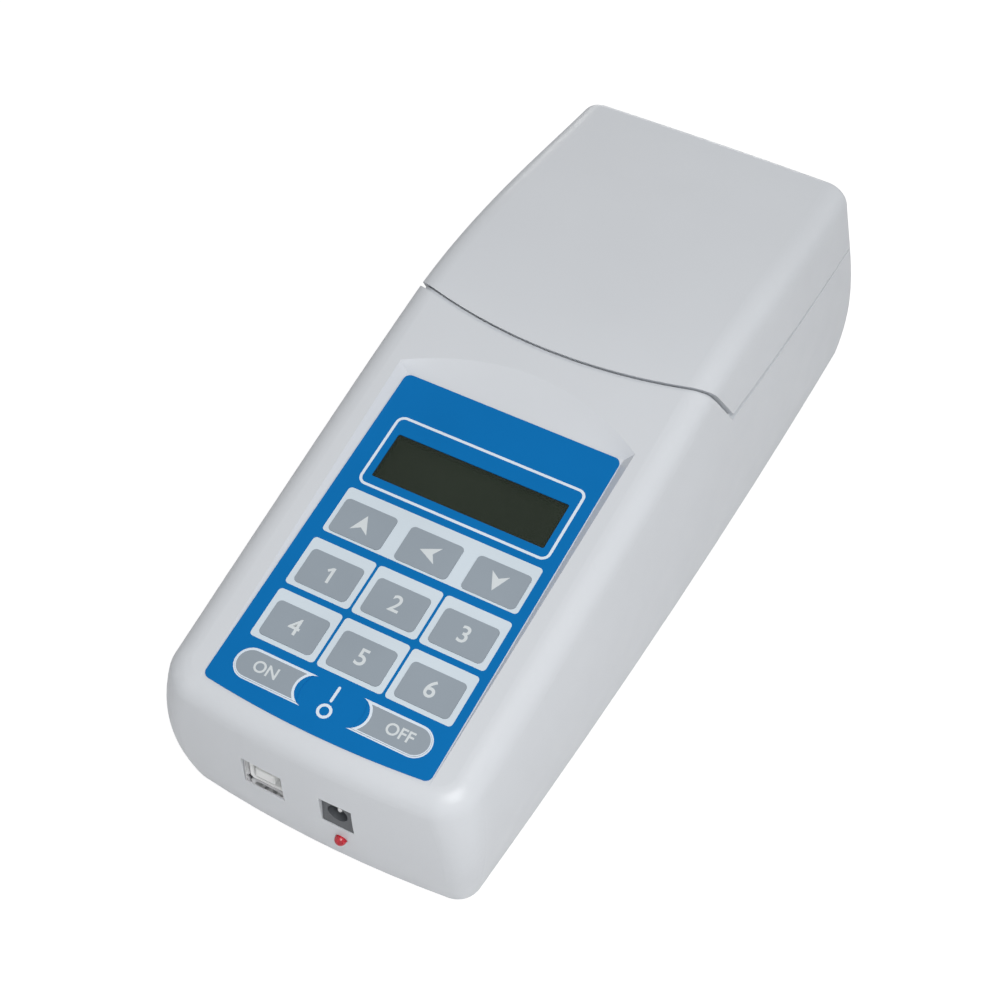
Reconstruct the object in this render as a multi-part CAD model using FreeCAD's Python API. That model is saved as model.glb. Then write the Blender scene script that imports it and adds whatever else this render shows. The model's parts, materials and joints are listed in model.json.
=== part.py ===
import FreeCAD, Part
import math
import os
from FreeCAD import Vector as V

# Bench colorimeter for beer: a wedge-shaped housing with a keypad on its sloping top, a rear
# lid over the sample well, and a base plate that closes the housing from below.
# While it is modelled, Y is the station behind the front edge of the base and Z the height
# above the base. save() moves every piece into the part's frame.

# Outer form
SECTIONS = (
    # height, front apex, rear, half width at the front, in the middle and at the rear
    (0.0, 0.0, 249.2, 44.2, 48.3, 48.1),
    (14.0, -3.6, 250.4, 46.6, 50.1, 49.2),
    (32.0, -5.6, 247.6, 47.5, 50.8, 49.2),
    (60.0, -4.6, 240.8, 41.4, 48.5, 46.6),
    (96.0, -1.4, 237.6, 37.2, 43.4, 41.8),
)
FRONT_BOW = 3.0
REAR_BOW = 0.6
FRONT_CORNER_LOW = 7.0
FRONT_CORNER_HIGH = 16.0
REAR_CORNER = 5.0
REAR_EDGE_R = 2.6
SHOULDER_R = 7.5
WALL = 2.6
FOOT_DROP = 1.5
MID_STATION = 122.4

# Keypad slope and panel
PANEL_TILT = 10.7
PANEL_STATION = 1.93
PANEL_HEIGHT = 51.07
PANEL_W = 67.1
PANEL_L = 105.3
PANEL_BOW = 1.9
PANEL_CORNER = 2.0
ARTWORK_X = 1.0
SLOPE_HEIGHT = 50.45
SLOPE_RISE = 0.2123
RECESS_FLOOR = -0.3
RECESS_MARGIN = 0.3
RIM_LEVEL = 2.6
RIM_HALF = 36.9
RIM_SIDE_END = 107.6
RIM_APEX = 119.0
POCKET_FLOOR = -3.0
ROOF_UNDERSIDE = -5.0
POCKET_BORDER = 1.7

# Keys
KEY_W = 16.0
KEY_L = 11.0
KEY_R = 1.4
KEY_PITCH = 20.3
ARROW_ROW = 57.0
UPPER_ROW = 39.5
LOWER_ROW = 22.1
KEY_PROUD = 0.15
KEY_CAP_BOTTOM = -0.4
KEY_FLANGE_BOTTOM = -1.5
KEY_FLANGE_RIM = 0.8
KEY_GAP = 0.15
SPACER_TOP = RECESS_FLOOR
SPACER_BOTTOM = -2.4
DOME_R = 3.0
DOME_TOP_R = 1.2
DOME_H = 0.55
PILL_LENGTH = 19.5
PILL_W = 8.4
PILL_CENTRE_X = 0.5
PILL_CENTRE_V = 8.1
PILL_NOTCH_R = 9.1

# Display
LCD_W = 52.8
LCD_H = 15.0
LCD_V = 79.0
WINDOW_RIM = 2.0
LCD_BEZEL_W = 62.0
LCD_BEZEL_H = 26.0
LCD_BOARD_W = 76.0
LCD_BOARD_H = 36.0
LCD_SCREW_X = 34.5
LCD_SCREW_Y = 14.8
LCD_BEZEL_TOP = -3.2
LCD_BOARD_TOP = -8.0
BOARD_T = 1.6
MAIN_BOARD_TOP = -16.0
MAIN_BOARD_W = 60.0
MAIN_BOARD_L = 101.0
MAIN_BOARD_V = 54.5
MAIN_SCREW_X = 26.0
MAIN_SCREW_Y = 46.5

# Lid
LID_WALL = 2.4
LID_FIT = 0.4
LID_APEX = 126.9
LID_APEX_HEIGHT = 77.7
LID_ARC_R = 145.0
LID_LEAN = 0.62
LID_FRONT_GAP = 1.7
SEAM_DEPTH = 1.5
LID_CREST = ((90.0, 70.0), (118.0, 75.8), (138.0, 79.5), (157.0, 80.7), (191.0, 79.1), (250.0, 75.4))
PART_LINE = ((148.0, 57.6), (239.0, 50.4))
LID_LINE = ((148.0, 59.3), (239.0, 50.9))
RIM_RISE = 2.6
RIM_T = 1.6
COMPARTMENT_APEX = 134.6
BULKHEAD_T = 2.4
DECK_TOP = 46.0
DECK_T = 2.2
HINGE_STATION = 246.0
HINGE_HEIGHT = 51.2
KNUCKLE_R = 3.0
PIN_R = 1.25
LID_KNUCKLE_HALF = 13.6
BODY_KNUCKLE_START = 14.0
BODY_KNUCKLE_END = 32.0

# Sample well and optics
WELL_STATION = 178.0
WELL_R = 12.6
WELL_TUBE_R = 16.2
WELL_FLOOR = 7.0
BEAM_HEIGHT = 24.0
ARM_W = 15.0
ARM_END = 31.0
ARM_BORE_R = 4.2
PLATE_DOWN = 13.0
PLATE_UP = 11.5
BEAM_R = 2.5
BORE_END = 15.0
OPTIC_R = 4.1
LENS_R = 7.0
FLANGE_TOP = 39.0
FLANGE_HALF = 24.0
FLANGE_SCREW = 20.0
SHIELD_TOP = 72.0
SHIELD_LOW = 47.9
SHIELD_R = 24.0
SHIELD_T = 2.0
SHIELD_SCREW_R = 27.0
SEAL_T = 1.6

# Sockets in the front wall
USB_X = -12.7
USB_HEIGHT = 27.2
USB_W = 12.0
USB_H = 11.0
USB_DEPTH = 16.0
DC_X = 9.8
DC_HEIGHT = 27.0
DC_W = 9.0
DC_H = 10.6
DC_DEPTH = 14.0
DC_MOUTH_UP = 0.6
SOCKET_FACE = -4.4
LAMP_HEIGHT = 14.6
LAMP_R = 1.7
IO_BOARD_TOP = 21.7
IO_POSTS = ((-18.0, 24.0), (16.0, 24.0))

# Base and fasteners
BASE_T = 2.6
BASE_INSET = 1.5
FOOT_R = 6.0
FOOT_SPOTS = ((-31.0, 22.0), (31.0, 22.0), (-34.0, 228.0), (34.0, 228.0))
BASE_SCREWS = ((-36.5, 40.0), (36.5, 40.0), (-38.5, 212.0), (38.5, 212.0))
SCREW_R = 1.35
PILOT_R = 1.5
BOSS_R = 3.4

# Rechargeable cells
CELL_R = 7.1
CELL_LENGTH = 50.0
CELL_PITCH = 14.4
CELL_COUNT = 5
CELL_START = 52.0
STRAP_POSTS = ((0.0, 40.6), (0.0, 121.0))
STRAP_POST_TOP = 6.0

X_AXIS = V(1, 0, 0)
Y_AXIS = V(0, 1, 0)
Z_AXIS = V(0, 0, 1)


def box(x0, x1, y0, y1, z0, z1):
    return Part.makeBox(x1 - x0, y1 - y0, z1 - z0, V(x0, y0, z0))


def rod(radius, start, end):
    axis = end - start
    return Part.makeCylinder(radius, axis.Length, start, axis)


def ring(outer, inner, start, end):
    return rod(outer, start, end).cut(rod(inner, start, end))


def prism(points, x0, x1):
    """Closed outline of (station, height) points, extruded along X."""
    corners = [V(x0, y, z) for y, z in points]
    face = Part.Face(Part.makePolygon(corners + corners[:1]))
    return face.extrude(V(x1 - x0, 0, 0))


def rounded_face(width, length, radius):
    """Rectangle with round corners, centred on the origin."""
    face = Part.Face(Part.makePolygon([
        V(-width / 2, -length / 2, 0),
        V(width / 2, -length / 2, 0),
        V(width / 2, length / 2, 0),
        V(-width / 2, length / 2, 0),
        V(-width / 2, -length / 2, 0),
    ]))
    block = face.extrude(V(0, 0, 1))
    upright = [e for e in block.Edges if abs(e.Vertexes[0].Z - e.Vertexes[-1].Z) > 0.5]
    block = block.makeFillet(radius, upright)
    return min(block.Faces, key=lambda f: f.CenterOfMass.z)


def slab(face, bottom, top):
    """A flat face at height zero, made solid between two heights."""
    return face.translated(V(0, 0, bottom)).extrude(V(0, 0, top - bottom))


def grown(face, distance):
    return Part.Face(face.OuterWire.makeOffset2D(distance))


def screw(head_r, head_h, radius, length):
    """Screw with its head below the origin and its shank up along Z."""
    head = rod(head_r, V(0, 0, -head_h), V(0, 0, 0))
    slot = box(-head_r, head_r, -0.35, 0.35, -head_h, -head_h + 0.6)
    return head.cut(slot).fuse(rod(radius, V(0, 0, 0), V(0, 0, length))).removeSplitter()


def on_panel(shape):
    """Panel coordinates (across, up the slope, out of it) to stations and heights."""
    placed = shape.copy()
    placed.rotate(V(0, 0, 0), X_AXIS, PANEL_TILT)
    placed.translate(V(0, PANEL_STATION, PANEL_HEIGHT))
    return placed


def outline(section, inset):
    height, front, rear, half_front, half_mid, half_rear = section
    if inset and height == 0.0:
        height = -3.0
    front = front + inset
    rear = rear - inset
    middle = (front + rear) / 2
    front_right = V(half_front - inset, front + FRONT_BOW, height)
    rear_right = V(half_rear - inset, rear - REAR_BOW, height)
    front_left = V(-front_right.x, front_right.y, height)
    rear_left = V(-rear_right.x, rear_right.y, height)
    half = half_mid - inset
    arcs = (
        (front_left, V(0, front, height), front_right),
        (front_right, V(half, middle, height), rear_right),
        (rear_right, V(0, rear, height), rear_left),
        (rear_left, V(-half, middle, height), front_left),
    )
    return Part.Wire([Part.Arc(*points).toShape() for points in arcs])


def hull(inset):
    """Bowed walls that curve in towards the base, with round front corners."""
    walls = Part.makeLoft([outline(s, inset) for s in SECTIONS], True, False)
    corners = []
    for edge in walls.Edges:
        bottom, top = edge.Vertexes[0].Point, edge.Vertexes[-1].Point
        if abs(top.z - bottom.z) > 60 and bottom.y < 50:
            corners.append(edge)
    return walls.makeFillet(FRONT_CORNER_LOW - inset, FRONT_CORNER_HIGH - inset, corners)


def round_top(block, inset, front_too):
    """Round the shoulders of a block, then the edges of its rear face."""
    top = max(block.Faces, key=lambda f: f.CenterOfMass.z * (f.Area > 3000))
    rear = block.BoundBox.YMax - 20
    shoulders = []
    for edge in top.Edges:
        along_side = abs(edge.CenterOfMass.x) > 20
        at_front = front_too and edge.CenterOfMass.y < 60
        if edge.CenterOfMass.y < rear and (along_side or at_front):
            shoulders.append(edge)
    block = block.makeFillet(SHOULDER_R - inset, shoulders)
    back = max((f for f in block.Faces if f.Area > 800), key=lambda f: f.CenterOfMass.y)
    low = min(v.Z for v in back.Vertexes)
    edges = [e for e in back.Edges if max(v.Z for v in e.Vertexes) > low + 1]
    return block.makeFillet(max(REAR_EDGE_R - inset, 0.5), edges)


def body_form(inset):
    rise = SLOPE_RISE
    drop = inset * math.sqrt(1 + rise * rise)
    slope = ((-30, -20), (280, -20), (280, SLOPE_HEIGHT + 280 * rise - drop),
             (-30, SLOPE_HEIGHT - 30 * rise - drop))
    block = hull(inset).common(prism(slope, -80, 80))
    return round_top(block, inset, True)


def lid_form(inset):
    """The form of the lid: the same walls under an arched crest that falls to the rear."""
    crest = Part.BSplineCurve()
    crest.interpolate([V(-80, y, z - inset) for y, z in LID_CREST])
    start = V(-80, LID_CREST[0][0], 30)
    end = V(-80, LID_CREST[-1][0], 30)
    sides = Part.makePolygon([V(-80, LID_CREST[-1][0], LID_CREST[-1][1] - inset), end, start,
                              V(-80, LID_CREST[0][0], LID_CREST[0][1] - inset)])
    face = Part.Face(Part.Wire([crest.toShape()] + sides.Edges))
    block = hull(inset).common(face.extrude(V(160, 0, 0)))
    return round_top(block, inset, False)


def behind_arc(apex, height, lean):
    """Everything behind a bowed front that leans back towards the base."""
    reach = 70.0
    sag = LID_ARC_R - math.sqrt(LID_ARC_R ** 2 - reach ** 2)
    arc = Part.Arc(V(-reach, apex + sag, 0), V(0, apex, 0), V(reach, apex + sag, 0)).toShape()
    sides = Part.makePolygon([V(reach, apex + sag, 0), V(reach, 330, 0), V(-reach, 330, 0),
                              V(-reach, apex + sag, 0)])
    face = Part.Face(Part.Wire([arc] + sides.Edges))
    face.translate(V(0, lean * (height + 10), -10))
    return face.extrude(V(0, -lean * 120, 120))


def above_line(line, rise):
    """Everything above a line given by two (station, height) points, raised by rise."""
    (y0, z0), (y1, z1) = line
    fall = (z1 - z0) / (y1 - y0)
    start, end = 60.0, 300.0
    low = ((start, z0 + fall * (start - y0) + rise), (end, z0 + fall * (end - y0) + rise))
    return prism(low + ((end, 130), (start, 130)), -80, 80)


def recess_tool():
    """Recess round the film: its walls slope up from the film, and widen to an arch behind it."""
    start = -6.0
    low = PANEL_W / 2 + RECESS_MARGIN
    low_end = PANEL_L + RECESS_MARGIN
    floor = Part.makePolygon([V(-low, low_end, RECESS_FLOOR), V(-low, start, RECESS_FLOOR),
                              V(low, start, RECESS_FLOOR), V(low, low_end, RECESS_FLOOR),
                              V(-low, low_end, RECESS_FLOOR)])
    half = RIM_HALF
    arch = Part.Arc(V(half, RIM_SIDE_END, RIM_LEVEL), V(0, RIM_APEX, RIM_LEVEL),
                    V(-half, RIM_SIDE_END, RIM_LEVEL)).toShape()
    sides = Part.makePolygon([V(-half, RIM_SIDE_END, RIM_LEVEL), V(-half, start, RIM_LEVEL),
                              V(half, start, RIM_LEVEL), V(half, RIM_SIDE_END, RIM_LEVEL)])
    rim = Part.Wire(sides.Edges + [arch])
    sloping = Part.makeLoft([floor, rim], True, True)
    above = Part.Face(rim).extrude(V(0, 0, 12))
    return on_panel(sloping.fuse(above))


def panel_face():
    """The keypad film: a rectangle whose lower edge bows forward."""
    half = PANEL_W / 2
    bow = Part.Arc(V(-half, 0, 0), V(0, -PANEL_BOW, 0), V(half, 0, 0)).toShape()
    sides = Part.makePolygon([V(half, 0, 0), V(half, PANEL_L, 0), V(-half, PANEL_L, 0),
                              V(-half, 0, 0)])
    block = Part.Face(Part.Wire([bow] + sides.Edges)).extrude(V(0, 0, 1))
    upright = [e for e in block.Edges if abs(e.Vertexes[0].Z - e.Vertexes[-1].Z) > 0.5]
    block = block.makeFillet(PANEL_CORNER, upright)
    return min(block.Faces, key=lambda f: f.CenterOfMass.z)


def key_face(x, v):
    return rounded_face(KEY_W, KEY_L, KEY_R).translated(V(x, v, 0))


def pill_face(side):
    """A pill key: round outer end, inner end hollowed round the mark between the two."""
    outer = side * (PILL_NOTCH_R + PILL_LENGTH - PILL_W / 2)
    body = box(min(0, outer), max(0, outer), -PILL_W / 2, PILL_W / 2, 0, 1)
    body = body.fuse(rod(PILL_W / 2, V(outer, 0, 0), V(outer, 0, 1)))
    body = body.cut(rod(PILL_NOTCH_R, V(0, 0, 0), V(0, 0, 1))).removeSplitter()
    body.translate(V(PILL_CENTRE_X, PILL_CENTRE_V, 0))
    return min(body.Faces, key=lambda f: f.CenterOfMass.z)


def key_faces():
    columns = (ARTWORK_X - KEY_PITCH, ARTWORK_X, ARTWORK_X + KEY_PITCH)
    faces = {}
    for name, x in zip(("key_up", "key_left", "key_down"), columns):
        faces[name] = key_face(x, ARROW_ROW)
    for number in range(6):
        row = UPPER_ROW if number < 3 else LOWER_ROW
        faces["key_%d" % (number + 1)] = key_face(columns[number % 3], row)
    faces["key_on"] = pill_face(-1)
    faces["key_off"] = pill_face(1)
    return faces


KEYS = key_faces()
PANEL = panel_face()
LCD_OPENING = rounded_face(LCD_W, LCD_H, 0.6).translated(V(ARTWORK_X + 0.1, LCD_V, 0))


def keypad_overlay():
    film = slab(PANEL, RECESS_FLOOR, 0)
    for face in KEYS.values():
        film = film.cut(slab(grown(face, KEY_GAP), -2, 2))
    return film.cut(slab(LCD_OPENING, -2, 2))


def pocket_face(gap):
    return grown(PANEL, -POCKET_BORDER - gap)


def keypad_spacer():
    """Spacer with a window round each key, which keeps the film off the circuit."""
    sheet = slab(pocket_face(0.1), SPACER_BOTTOM, SPACER_TOP)
    for face in KEYS.values():
        sheet = sheet.cut(slab(grown(face, KEY_FLANGE_RIM + 0.25), -4, 2))
    return sheet.cut(slab(grown(LCD_OPENING, WINDOW_RIM + 0.05), -4, 2))


def keypad_circuit():
    sheet = slab(pocket_face(0.1), POCKET_FLOOR, SPACER_BOTTOM)
    return sheet.cut(slab(grown(LCD_OPENING, 0.8), -4, 2))


def switch_domes():
    domes = []
    for face in KEYS.values():
        centre = face.CenterOfMass
        foot = V(centre.x, centre.y, SPACER_BOTTOM)
        domes.append(Part.makeCone(DOME_R, DOME_TOP_R, DOME_H, foot))
    return Part.makeCompound(domes)


def key_body(face):
    """Key cap with a flange that the film holds down."""
    cap = slab(face, KEY_CAP_BOTTOM, KEY_PROUD)
    flange = slab(grown(face, KEY_FLANGE_RIM), KEY_FLANGE_BOTTOM, KEY_CAP_BOTTOM)
    return cap.fuse(flange)


def lcd_window():
    """Clear plate under the opening in the film, held between film and circuit sheet."""
    return slab(grown(LCD_OPENING, WINDOW_RIM), SPACER_BOTTOM, RECESS_FLOOR)


def lcd_centre(x, y, c):
    return V(ARTWORK_X + 0.1 + x, LCD_V + y, c)


def lcd_bezel():
    """Pressed metal frame with a viewing window and bent-in tabs at the board."""
    top, bottom = LCD_BEZEL_TOP, LCD_BOARD_TOP
    frame = slab(rounded_face(LCD_BEZEL_W, LCD_BEZEL_H, 1.0), bottom, top)
    frame = frame.cut(slab(rounded_face(LCD_BEZEL_W - 1.2, LCD_BEZEL_H - 1.2, 0.6), bottom, top - 0.6))
    frame = frame.cut(slab(rounded_face(LCD_W + 1.2, LCD_H + 1.2, 0.5), bottom, top + 1))
    return frame.translated(lcd_centre(0, 0, 0))


def lcd_glass():
    glass = slab(rounded_face(LCD_BEZEL_W - 1.6, LCD_BEZEL_H - 1.6, 0.4), LCD_BOARD_TOP,
                 LCD_BEZEL_TOP - 0.6)
    return glass.translated(lcd_centre(0, 0, 0))


def lcd_screw_spots():
    return [lcd_centre(x, y, 0) for x in (-LCD_SCREW_X, LCD_SCREW_X)
            for y in (-LCD_SCREW_Y, LCD_SCREW_Y)]


def lcd_board():
    board = slab(rounded_face(LCD_BOARD_W, LCD_BOARD_H, 1.5), LCD_BOARD_TOP - BOARD_T, LCD_BOARD_TOP)
    board = board.translated(lcd_centre(0, 0, 0))
    for spot in lcd_screw_spots():
        board = board.cut(rod(PILOT_R, spot + V(0, 0, -20), spot + V(0, 0, 20)))
    return board


def lcd_screws():
    fasteners = []
    for spot in lcd_screw_spots():
        fastener = screw(2.2, 1.4, SCREW_R, 4.4)
        fasteners.append(fastener.translated(spot + V(0, 0, LCD_BOARD_TOP - BOARD_T)))
    return Part.makeCompound(fasteners)


def main_screw_spots():
    return [V(x, MAIN_BOARD_V + y, 0) for x in (-MAIN_SCREW_X, MAIN_SCREW_X)
            for y in (-MAIN_SCREW_Y, MAIN_SCREW_Y)]


def main_board():
    board = slab(rounded_face(MAIN_BOARD_W, MAIN_BOARD_L, 2.0), MAIN_BOARD_TOP - BOARD_T, MAIN_BOARD_TOP)
    board = board.translated(V(0, MAIN_BOARD_V, 0))
    for spot in main_screw_spots():
        board = board.cut(rod(PILOT_R, spot + V(0, 0, -30), spot + V(0, 0, 20)))
    return board


def board_chips():
    """Processor, memory and power parts on the underside of the main board."""
    under = MAIN_BOARD_TOP - BOARD_T
    sizes = ((0, 52, 14, 14, 1.6), (-16, 30, 8, 6, 1.5), (14, 30, 10, 7, 1.5), (-14, 72, 9, 7, 1.8),
             (15, 74, 7, 10, 3.2))
    chips = []
    for x, v, width, length, height in sizes:
        chips.append(box(x - width / 2, x + width / 2, v - length / 2, v + length / 2,
                         under - height, under))
    return Part.makeCompound(chips)


def main_board_screws():
    fasteners = []
    for spot in main_screw_spots():
        fastener = screw(2.4, 1.5, SCREW_R, 7.0)
        fasteners.append(fastener.translated(spot + V(0, 0, MAIN_BOARD_TOP - BOARD_T)))
    return Part.makeCompound(fasteners)


def standoffs():
    """Posts that hang from the roof and carry the display and the main board."""
    posts = []
    root = V(0, 0, ROOF_UNDERSIDE + 0.6)
    for spot in lcd_screw_spots():
        posts.append(ring(2.6, PILOT_R, spot + V(0, 0, LCD_BOARD_TOP), spot + root))
    for spot in main_screw_spots():
        posts.append(ring(2.8, PILOT_R, spot + V(0, 0, MAIN_BOARD_TOP), spot + root))
    return posts


def front_roof():
    """Space under the keypad slope, in stations and heights."""
    return on_panel(box(-80, 80, -60, 260, -120, ROOF_UNDERSIDE))


def cavity():
    room = body_form(WALL)
    bulkhead = behind_arc(COMPARTMENT_APEX - BULKHEAD_T, LID_APEX_HEIGHT, 0)
    under_deck = box(-80, 80, -60, 330, -20, DECK_TOP - DECK_T)
    under_slope = front_roof().cut(bulkhead)
    return room.common(under_slope.fuse(under_deck))


def body_hinge_web():
    """Outline of the arm that carries a knuckle behind the rear wall."""
    return ((HINGE_STATION - 4.6, HINGE_HEIGHT - 9.0), (HINGE_STATION - 4.6, HINGE_HEIGHT - 1.4),
            (HINGE_STATION, HINGE_HEIGHT - 1.0), (HINGE_STATION + 2.4, HINGE_HEIGHT - 1.6))


def lid_hinge_web():
    return ((HINGE_STATION - 5.6, HINGE_HEIGHT + 7.5), (HINGE_STATION - 4.4, HINGE_HEIGHT + 0.4),
            (HINGE_STATION, HINGE_HEIGHT - 0.6), (HINGE_STATION + 1.0, HINGE_HEIGHT + 2.6))


def knuckle(x0, x1, radius):
    return rod(radius, V(x0, HINGE_STATION, HINGE_HEIGHT), V(x1, HINGE_STATION, HINGE_HEIGHT))


def body_knuckles():
    parts = []
    for side in (-1, 1):
        x0, x1 = sorted((side * BODY_KNUCKLE_START, side * BODY_KNUCKLE_END))
        parts.append(prism(body_hinge_web(), x0, x1).fuse(knuckle(x0, x1, KNUCKLE_R)))
    return parts


def bosses(room):
    """Screw posts from the base up to the roof or the deck, each with a rib to its wall."""
    parts = []
    for x, y in BASE_SCREWS:
        top = 54.0 if y < LID_APEX else DECK_TOP - 1
        reach = math.copysign(60, x)
        rib = box(min(x, reach), max(x, reach), y - 0.9, y + 0.9, 6, top)
        parts.append(rib.common(room))
        parts.append(rod(BOSS_R, V(x, y, BASE_T + 0.1), V(x, y, top)))
    for x, y in cell_screw_spots():
        parts.append(rod(3.0, V(x, y, FLANGE_TOP), V(x, y, DECK_TOP - 1)))
    return parts


def main_housing():
    """Deep moulded shell: keypad slope, rear deck, lid rim, bosses and hinge knuckles."""
    lid_gap = behind_arc(LID_APEX - LID_FRONT_GAP, LID_APEX_HEIGHT, LID_LEAN)
    lid_space = lid_gap.common(above_line(PART_LINE, 0))
    seam = lid_space.cut(body_form(SEAM_DEPTH))
    lid_room = behind_arc(LID_APEX - LID_FIT, LID_APEX_HEIGHT, LID_LEAN)
    lid_room = lid_room.common(above_line(LID_LINE, -LID_FIT))
    shell = body_form(0).cut(seam).cut(lid_room)
    compartment = behind_arc(COMPARTMENT_APEX, LID_APEX_HEIGHT, 0)
    inner = lid_form(LID_WALL + LID_FIT).common(box(-80, 80, 60, 300, 30, 120))
    ledge = inner.common(lid_space).cut(compartment.common(above_line(PART_LINE, RIM_RISE)))
    shell = shell.fuse(ledge)
    room = lid_form(LID_WALL + LID_FIT + RIM_T).common(compartment)
    shell = shell.cut(room.common(box(-80, 80, 60, 300, DECK_TOP, 120)))
    inside = cavity()
    shell = shell.cut(inside)
    pocket = on_panel(slab(pocket_face(0), POCKET_FLOOR, 14))
    shell = shell.cut(recess_tool()).cut(pocket)
    for post in bosses(inside):
        shell = shell.fuse(post)
    viewing = slab(rounded_face(LCD_BEZEL_W + 0.8, LCD_BEZEL_H + 0.8, 1.0), -20, 0)
    shell = shell.cut(on_panel(viewing.translated(lcd_centre(0, 0, 0))))
    for post in standoffs():
        shell = shell.fuse(on_panel(post))
    for arm in body_knuckles():
        shell = shell.fuse(arm)
    shell = shell.cut(knuckle(-LID_KNUCKLE_HALF - 0.4, LID_KNUCKLE_HALF + 0.4, KNUCKLE_R + 0.4))
    shell = shell.cut(knuckle(-60, 60, PIN_R + 0.02))
    shell = shell.cut(rod(WELL_TUBE_R + 0.3, V(0, WELL_STATION, DECK_TOP - 5), V(0, WELL_STATION, 60)))
    for x, y in BASE_SCREWS:
        shell = shell.cut(rod(PILOT_R, V(x, y, 0), V(x, y, 16)))
    for x, y in cell_screw_spots():
        shell = shell.cut(rod(PILOT_R, V(x, y, 0), V(x, y, DECK_TOP - 1.4)))
    shell = shell.cut(slab(base_face(BASE_INSET - 0.15), -1, BASE_T + 0.1))
    shell = shell.cut(socket_hole(USB_X, USB_HEIGHT, USB_W, USB_H))
    shell = shell.cut(socket_hole(DC_X, DC_HEIGHT, DC_W, DC_H))
    shell = shell.cut(rod(LAMP_R + 0.1, V(DC_X, -20, LAMP_HEIGHT), V(DC_X, 5, LAMP_HEIGHT)))
    return max(shell.Solids, key=lambda solid: solid.Volume)


def socket_hole(x, height, width, tall):
    gap = 0.25
    half, up = width / 2 + gap, tall / 2 + gap
    return box(x - half, x + half, -20, 3, height - up, height + up)


def base_face(inset):
    """Outline of the base with its walls moved in by inset, laid at height zero."""
    height, front, rear, half_front, half_mid, half_rear = SECTIONS[0]
    wire = outline((0.001, front + inset, rear - inset, half_front - inset, half_mid - inset,
                    half_rear - inset), 0)
    block = Part.Face(wire).extrude(V(0, 0, 1))
    upright = [e for e in block.Edges if abs(e.Vertexes[0].Z - e.Vertexes[-1].Z) > 0.5]
    block = block.makeFillet(REAR_CORNER, upright)
    face = min(block.Faces, key=lambda f: f.CenterOfMass.z)
    return face.translated(V(0, 0, -0.001))


def base_plate():
    plate = slab(base_face(BASE_INSET), 0, BASE_T)
    for x, y in FOOT_SPOTS:
        plate = plate.cut(rod(FOOT_R + 0.1, V(x, y, -1), V(x, y, 0.8)))
    for x, y in BASE_SCREWS:
        plate = plate.cut(rod(3.0, V(x, y, -1), V(x, y, 1.7))).cut(rod(1.7, V(x, y, 0), V(x, y, 9)))
    for x, y in IO_POSTS:
        post = ring(3.0, PILOT_R, V(x, y, BASE_T), V(x, y, IO_BOARD_TOP - BOARD_T))
        plate = plate.fuse(post)
    for x, y in STRAP_POSTS:
        plate = plate.fuse(ring(3.0, PILOT_R, V(x, y, BASE_T), V(x, y, STRAP_POST_TOP)))
    for y in (144.0, 224.0):
        plate = plate.fuse(box(-32, 32, y - 0.8, y + 0.8, BASE_T, BASE_T + 4))
    for x in (-28.0, 28.0):
        plate = plate.fuse(box(x - 0.8, x + 0.8, 44.0, 118.0, BASE_T, BASE_T + 4))
    return plate.removeSplitter()


def rubber_feet():
    feet = []
    for x, y in FOOT_SPOTS:
        pad = rod(FOOT_R, V(x, y, -FOOT_DROP), V(x, y, 0.8))
        rim = [e for e in pad.Edges if e.CenterOfMass.z < 0 and len(e.Vertexes) == 1 and e.Length > 30]
        feet.append(pad.makeChamfer(0.6, rim))
    return Part.makeCompound(feet)


def base_screws():
    return Part.makeCompound([screw(2.7, 1.5, SCREW_R, 12.0).translated(V(x, y, 1.7))
                              for x, y in BASE_SCREWS])


def lid():
    """Arched cover whose front edge bows forward and leans back, hinged at its lower rear edge."""
    space = behind_arc(LID_APEX, LID_APEX_HEIGHT, LID_LEAN).common(above_line(LID_LINE, 0))
    cover = lid_form(0).cut(lid_form(LID_WALL)).common(space)
    inner = lid_form(LID_WALL - 0.3)
    for x, y in shield_screw_spots():
        post = rod(3.0, V(x, y, SHIELD_TOP), V(x, y, 90)).common(inner)
        cover = cover.fuse(post).cut(rod(PILOT_R, V(x, y, SHIELD_TOP - 1), V(x, y, SHIELD_TOP + 4.2)))
    for side in (-1, 1):
        x0, x1 = sorted((side * (BODY_KNUCKLE_START - 0.4), side * (BODY_KNUCKLE_END + 0.4)))
        cover = cover.cut(knuckle(x0, x1, KNUCKLE_R + 0.4))
    half = LID_KNUCKLE_HALF
    arm = prism(lid_hinge_web(), -half, half).fuse(knuckle(-half, half, KNUCKLE_R))
    cover = cover.fuse(arm).cut(knuckle(-60, 60, PIN_R + 0.06))
    return max(cover.Solids, key=lambda solid: solid.Volume)


def hinge_pin():
    pin = knuckle(-BODY_KNUCKLE_END - 0.8, BODY_KNUCKLE_END + 0.8, PIN_R)
    ends = [e for e in pin.Edges if len(e.Vertexes) == 1]
    return pin.makeChamfer(0.3, ends)


def shield_screw_spots():
    angles = [math.radians(90 + 120 * i) for i in range(3)]
    return [(SHIELD_SCREW_R * math.cos(a), WELL_STATION + SHIELD_SCREW_R * math.sin(a)) for a in angles]


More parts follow.
